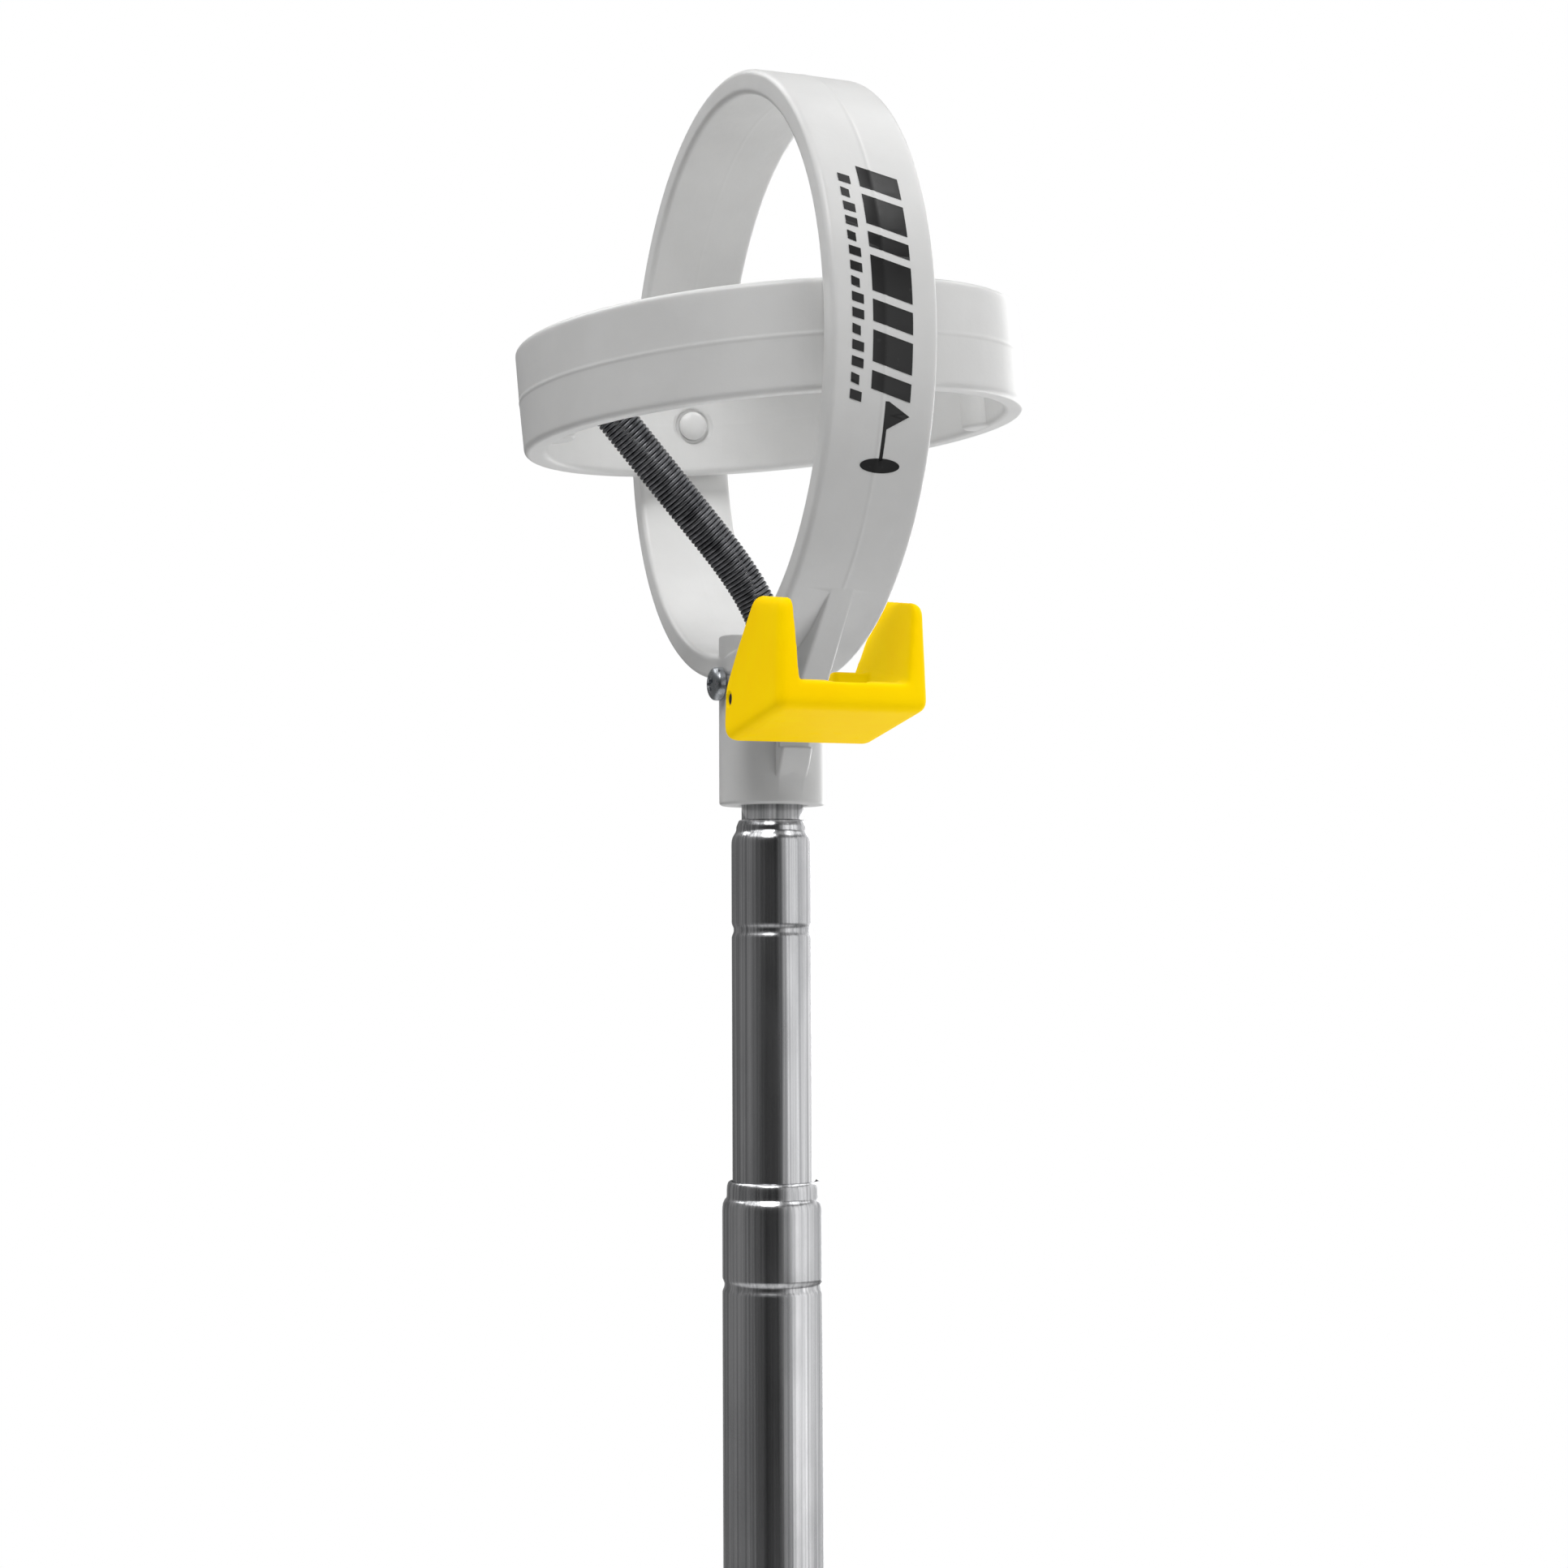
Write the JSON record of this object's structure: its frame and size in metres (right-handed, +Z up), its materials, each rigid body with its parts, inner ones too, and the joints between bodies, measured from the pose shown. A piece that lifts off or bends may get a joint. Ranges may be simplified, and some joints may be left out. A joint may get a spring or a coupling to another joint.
{
  "type": "golf ball retriever",
  "caption": "Golf ball retriever: a caging head of two crossed white rings with a return spring and a yellow folding latch, on a telescoping stainless shaft with a rubber grip.",
  "frame": {"origin": "centre of the flat butt face at the bottom of the handle, on the shaft's axis", "axes": "+Z up the shaft towards the head, +Y across the plane of the upright hoop and along the catch ring's hinge with the latch on the -Y side, +X square to the hoop"},
  "size_m": [0.075, 0.0832, 0.5567],
  "materials": {
    "white_nylon": "moulded, satin",
    "yellow_nylon": "moulded, satin",
    "stainless_tube": "drawn and polished",
    "spring_steel": "dark oiled wire",
    "plated_steel": "zinc plated",
    "acetal_guide": "moulded",
    "grip_rubber": "matt, moulded",
    "black_plastic": "moulded"
  },
  "bodies": {
    "handle": {"tube_5": "stainless_tube", "mouth_sleeve_5": "acetal_guide", "end_plug": "acetal_guide", "butt_cap": "black_plastic", "grip": "grip_rubber", "grip_collar": "black_plastic"},
    "stage_4": {"tube_4": "stainless_tube", "mouth_sleeve_4": "acetal_guide", "friction_bush_4": "acetal_guide"},
    "stage_3": {"tube_3": "stainless_tube", "mouth_sleeve_3": "acetal_guide", "friction_bush_3": "acetal_guide"},
    "stage_2": {"tube_2": "stainless_tube", "mouth_sleeve_2": "acetal_guide", "friction_bush_2": "acetal_guide"},
    "head": {"head_hoop": "white_nylon", "tube_1": "stainless_tube", "friction_bush_1": "acetal_guide", "pivot_pin_front": "white_nylon", "pivot_pin_back": "white_nylon", "catch_spring": "spring_steel", "spring_screw": "plated_steel", "latch_pin": "plated_steel"},
    "catch_ring": {"catch_ring": "white_nylon"},
    "latch": {"latch_clip": "yellow_nylon"}
  },
  "joints": [
    {"name": "tube_4_slide", "type": "slide", "parent": "handle", "child": "stage_4", "axis": [0, 0, 1], "range_m": [0, 0.251]},
    {"name": "tube_3_slide", "type": "slide", "parent": "stage_4", "child": "stage_3", "axis": [0, 0, 1], "range_m": [-0.0596, 0.2065]},
    {"name": "tube_2_slide", "type": "slide", "parent": "stage_3", "child": "stage_2", "axis": [0, 0, 1], "range_m": [-0.0372, 0.2435]},
    {"name": "tube_1_slide", "type": "slide", "parent": "stage_2", "child": "head", "axis": [0, 0, 1], "range_m": [0, 0.2945]},
    {"name": "ring_hinge", "type": "hinge", "parent": "head", "child": "catch_ring", "pos_m": [0, 0, 0.512], "axis": [0, 1, 0], "range_deg": [-40, 95.5], "stiffness_Nm_per_rad": 0.08, "deforming": ["catch_spring"]},
    {"name": "latch_hinge", "type": "hinge", "parent": "head", "child": "latch", "pos_m": [0, -0.0114, 0.4642], "axis": [1, 0, 0], "range_deg": [-38, 0]}
  ]
}
